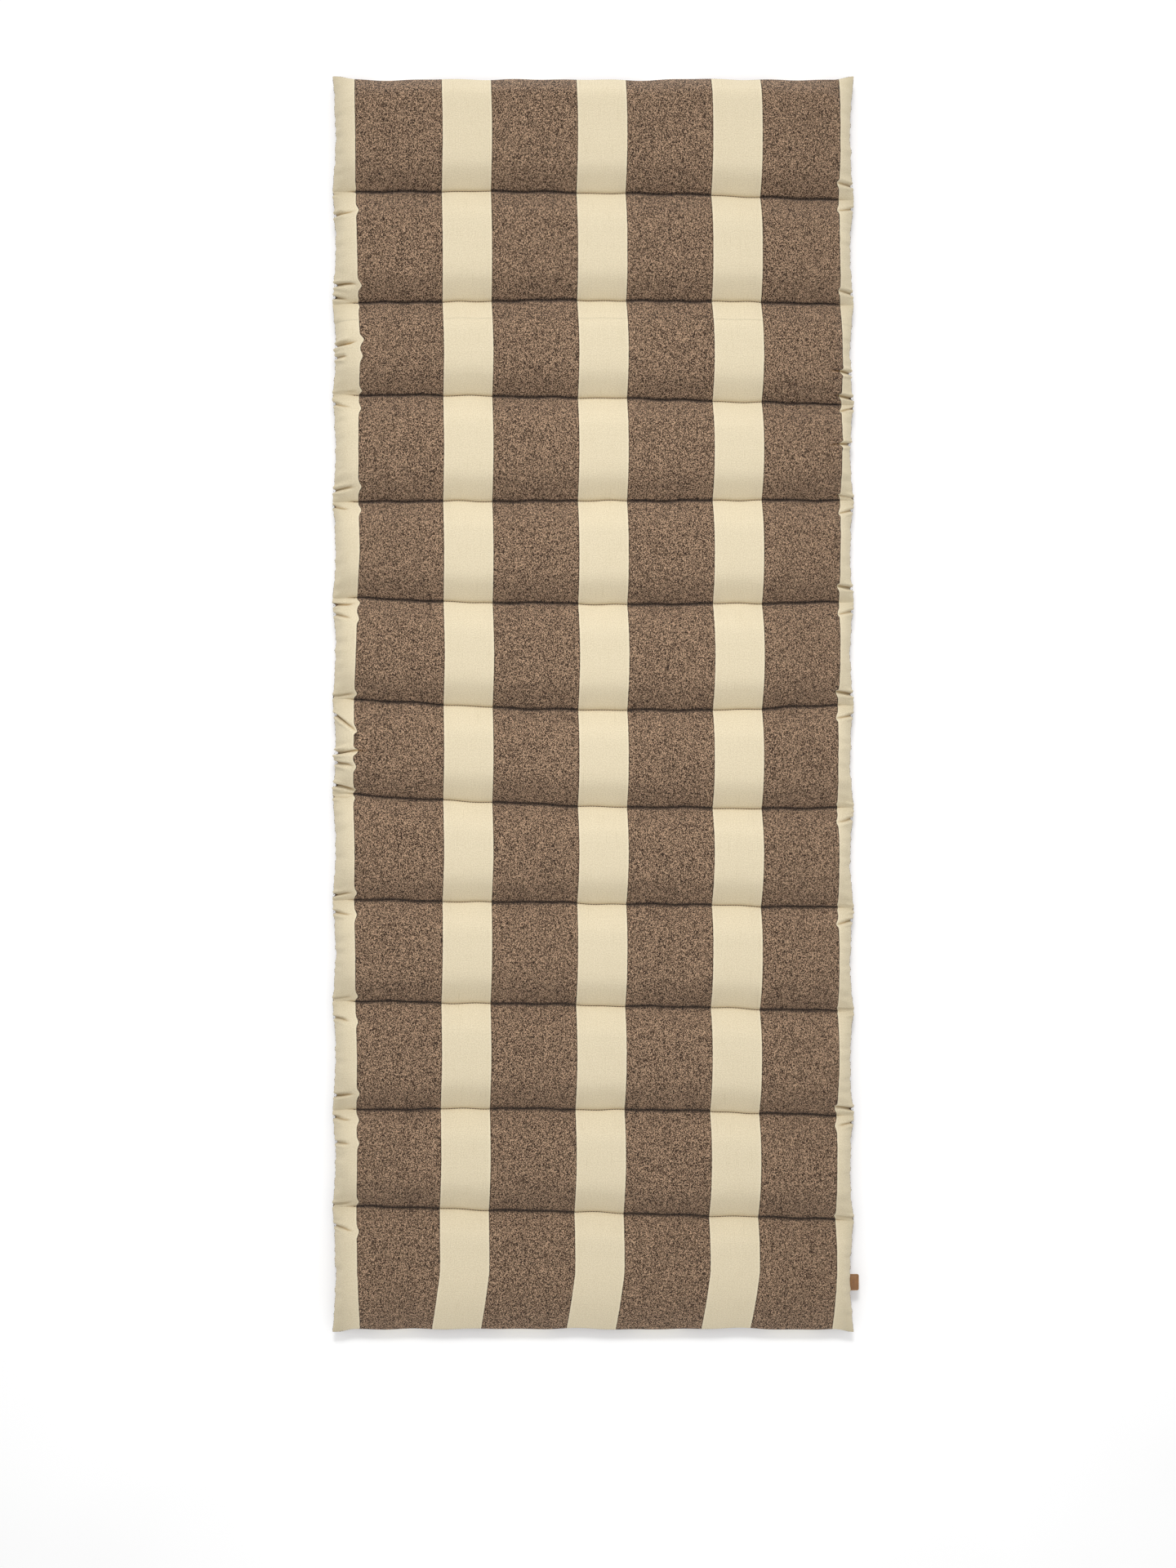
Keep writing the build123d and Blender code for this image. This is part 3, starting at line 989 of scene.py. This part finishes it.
def makeStitchRow(name, length, width, thickness, pitch, count, layers):
    # one stitch, copied along X and then from the top to the underside
    bpy.ops.object.select_all(action="DESELECT")
    bpy.ops.mesh.primitive_uv_sphere_add(segments=6, ring_count=4, radius=0.5)
    row = bpy.context.object
    row.name = name
    bpy.ops.object.mode_set(mode="EDIT")
    bpy.ops.mesh.select_all(action="SELECT")
    bpy.ops.transform.rotate(value=math.radians(90), orient_axis="Y", center_override=(0, 0, 0))
    bpy.ops.transform.resize(value=(length, width, thickness))
    bpy.ops.object.mode_set(mode="OBJECT")
    along = row.modifiers.new("along", "ARRAY")
    along.use_relative_offset = False
    along.use_constant_offset = True
    along.constant_offset_displace = (pitch, 0, 0)
    along.count = count
    if layers > 1:
        under = row.modifiers.new("under", "ARRAY")
        under.use_relative_offset = False
        under.use_constant_offset = True
        under.constant_offset_displace = (pitch / 2, 0, -2 * stitchSettings["lift"])
        under.count = layers
    applyModifiers(row)
    bpy.ops.object.shade_smooth()
    row.data.materials.append(sewingThread)
    return row


def makeQuilting(row):
    s = stitchSettings
    count = int(2 * quiltedReach / s["pitch"])
    name = f"quilting_{row:02d}"
    piece = makeStitchRow(name, s["length"], s["width"], s["thickness"], s["pitch"], count, 2)
    places = readPlaces(piece.data)
    places[:, 0] -= (count - 0.5) * s["pitch"] / 2
    places[:, 1] += rowLine(row, places[:, 0])
    places[:, 2] += seamHeight + s["lift"]
    writePlaces(piece.data, places)
    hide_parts(f"quilt_thread_{row:02d}")
    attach(piece, channelNames(row)[1])


def makeEdgeRun(name, count):
    s = stitchSettings
    thickness = s["edgeThickness"]
    return makeStitchRow(name, s["edgeLength"], thickness, thickness, s["edgePitch"], count, 1)


def makeEdgeSeam(channel):
    s = stitchSettings
    middle = np.zeros(1)
    head = float(rowLine(channel - 1, middle)[0])
    foot = float(rowLine(channel, middle)[0])
    count = int((head - foot) / s["edgePitch"]) - 2
    runs = []
    for side in (-1, 1):
        run = makeEdgeRun(f"run{side}", count)
        places = readPlaces(run.data)
        along = (places[:, 0] + 1.5 * s["edgePitch"]) / (head - foot)
        across = places[:, 1]
        x = side * (sideLine(side, channel, along) - s["edgeInset"]) + across
        y = rowLine(channel, x) + along * (rowLine(channel - 1, x) - rowLine(channel, x))
        writePlaces(run.data, np.stack([x, y, places[:, 2] + seamHeight], 1))
        runs.append(run)
    for row, out in ((0, 1), (channelCount, -1)):
        if channel == max(row, 1):
            endCount = int(2 * (sideReach - s["edgeFromCorner"]) / s["edgePitch"])
            run = makeEdgeRun(f"run{row}", endCount)
            places = readPlaces(run.data)
            places[:, 0] -= (endCount - 1) * s["edgePitch"] / 2
            places[:, 1] += rowLine(row, places[:, 0]) - out * s["edgeInset"]
            places[:, 2] += seamHeight
            writePlaces(run.data, places)
            runs.append(run)
    bpy.ops.object.select_all(action="DESELECT")
    for run in runs:
        run.select_set(True)
    bpy.context.view_layer.objects.active = runs[0]
    bpy.ops.object.join()
    seam = bpy.context.object
    seam.name = f"edge_stitches_{channel:02d}"
    bpy.ops.object.mode_set(mode="EDIT")
    bpy.ops.mesh.select_all(action="SELECT")
    bpy.ops.mesh.normals_make_consistent(inside=False)
    bpy.ops.object.mode_set(mode="OBJECT")
    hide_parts(f"edge_thread_{channel:02d}")
    joinAtSeam(seam, channel)


for row in range(1, channelCount):
    makeQuilting(row)
for channel in range(1, channelCount + 1):
    makeEdgeSeam(channel)
print("stitches sewn")


# ---- the folded leather tab in the right edge

tabSettings = {
    "drawnIn": 0.0040,      # the tab stands out this much less than its box
    "corner": 0.0030,
    "edgeRounding": 0.00045,
    "plyGroove": 0.0004,
    "pressedBorder": 0.0017,
    "pressedWidth": 0.0004,
    "pressedDepth": 0.0003,
    "droop": 0.0010,
    "wornEdge": (0.0003, 0.0013),
}


def makeTab():
    s = tabSettings
    low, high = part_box("label_tab")
    high.x -= s["drawnIn"]
    centre, size = (low + high) / 2, high - low
    bpy.ops.object.select_all(action="DESELECT")
    bpy.ops.mesh.primitive_cube_add(size=1)
    tab = bpy.context.object
    tab.name = "leather_tab"
    mesh = tab.data
    bpy.ops.object.mode_set(mode="EDIT")
    bpy.ops.mesh.select_all(action="SELECT")
    bpy.ops.transform.resize(value=size)
    bpy.ops.transform.translate(value=centre)
    bpy.ops.object.mode_set(mode="OBJECT")
    selectEdges(mesh, lambda a, b: a.x > centre.x and b.x > centre.x and abs(a.y - b.y) < 1e-6)
    bpy.ops.mesh.bevel(offset=s["corner"], segments=5, affect="EDGES")
    bpy.ops.object.mode_set(mode="OBJECT")
    # the gap between the two plies shows along both cut sides
    selectFaces(mesh, lambda face: abs(face.normal.y) > 0.95)
    bpy.ops.mesh.inset(thickness=size.z * 0.36, use_even_offset=True, use_individual=True)
    bpy.ops.transform.resize(value=(1, 1 - 2 * s["plyGroove"] / size.y, 1), center_override=centre)
    bpy.ops.object.mode_set(mode="OBJECT")
    # a line pressed round the top and the underside
    selectFaces(mesh, lambda face: abs(face.normal.z) > 0.95)
    bpy.ops.mesh.inset(thickness=s["pressedBorder"], use_individual=True)
    bpy.ops.mesh.inset(thickness=s["pressedWidth"], depth=-s["pressedDepth"], use_individual=True)
    bpy.ops.mesh.inset(thickness=s["pressedWidth"], depth=s["pressedDepth"], use_individual=True)
    bpy.ops.object.mode_set(mode="OBJECT")
    bevel = tab.modifiers.new("worn edges", "BEVEL")
    bevel.width = s["edgeRounding"]
    bevel.segments = 2
    bevel.angle_limit = math.radians(50)
    subdivision = tab.modifiers.new("finer", "SUBSURF")
    subdivision.subdivision_type = "SIMPLE"
    subdivision.levels = subdivision.render_levels = 2
    applyModifiers(tab)
    places = readPlaces(mesh)
    out = np.clip((places[:, 0] - low.x) / size.x, 0, 1)
    places[:, 2] -= s["droop"] * out ** 2
    fromSide = np.minimum(places[:, 1] - low.y, high.y - places[:, 1])
    fromEdge = np.minimum(fromSide, high.x - places[:, 0])
    writePlaces(mesh, places)
    writeShade(mesh, "cutEdge", 0.7 * (1 - smoothStep(fromEdge, *s["wornEdge"])))
    bpy.ops.object.shade_smooth_by_angle(angle=math.radians(40))
    mesh.materials.append(tabLeather)
    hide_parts("label_tab")
    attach(tab, channelNames(channelCount)[0])


makeTab()
print("tab made")


# ---- floor, light and camera

stageSettings = {
    "floorSize": 30.0,
    "floorGlow": 0.09,
    "worldStrength": 0.80,
    "keyPower": 7.7,
    "keySize": 1.8,
    "keySpread": math.radians(28),
    "keyPlace": (-0.2, 3.75, 4.7),
    "keyAim": (0, 0.05, 0),
    "cameraHeight": 5.5,
    "cameraAim": (-0.0094, -0.1152),
    "frameHeight": 2.2573,      # metres of floor from the top to the bottom of the picture
    "frameLevel": 0.040,        # and the level that it is measured at
}


def makeStage():
    s = stageSettings
    scene = bpy.context.scene
    bpy.ops.object.select_all(action="DESELECT")
    bpy.ops.mesh.primitive_plane_add(size=s["floorSize"])
    floor = bpy.context.object
    floor.name = "floor"
    paper, tree, shader = newMaterial("paleFloor")
    place = tree.nodes.new("ShaderNodeTexCoord").outputs["Object"]
    shade = rangeMask(tree, noise(tree, place, 3.0), 0.3, 0.7, 0.93, 0.95)
    tree.links.new(combine(tree, shade, shade, shade), shader.inputs["Base Color"])
    shader.inputs["Roughness"].default_value = 0.9
    shader.inputs["Specular IOR Level"].default_value = 0.1
    shader.inputs["Emission Color"].default_value = (1, 1, 1, 1)
    shader.inputs["Emission Strength"].default_value = s["floorGlow"]
    floor.data.materials.append(paper)

    world = bpy.data.worlds.new("studio")
    scene.world = world
    world.use_nodes = True
    background = world.node_tree.nodes["Background"]
    background.inputs["Color"].default_value = (1, 1, 1, 1)
    background.inputs["Strength"].default_value = s["worldStrength"]

    key = bpy.data.objects.new("keyLight", bpy.data.lights.new("keyLight", "AREA"))
    scene.collection.objects.link(key)
    key.data.energy = s["keyPower"]
    key.data.size = s["keySize"]
    key.location = s["keyPlace"]
    key.data.spread = s["keySpread"]
    key.rotation_euler = (Vector(s["keyAim"]) - Vector(s["keyPlace"])).to_track_quat("-Z", "Y").to_euler()

    camera = bpy.data.objects.new("camera", bpy.data.cameras.new("camera"))
    scene.collection.objects.link(camera)
    scene.camera = camera
    camera.location = (*s["cameraAim"], s["cameraHeight"])
    halfView = s["frameHeight"] / 2 / (s["cameraHeight"] - s["frameLevel"])
    camera.data.lens = camera.data.sensor_width / 2 / halfView
    scene.view_settings.view_transform = "Standard"


makeStage()
print("stage set")
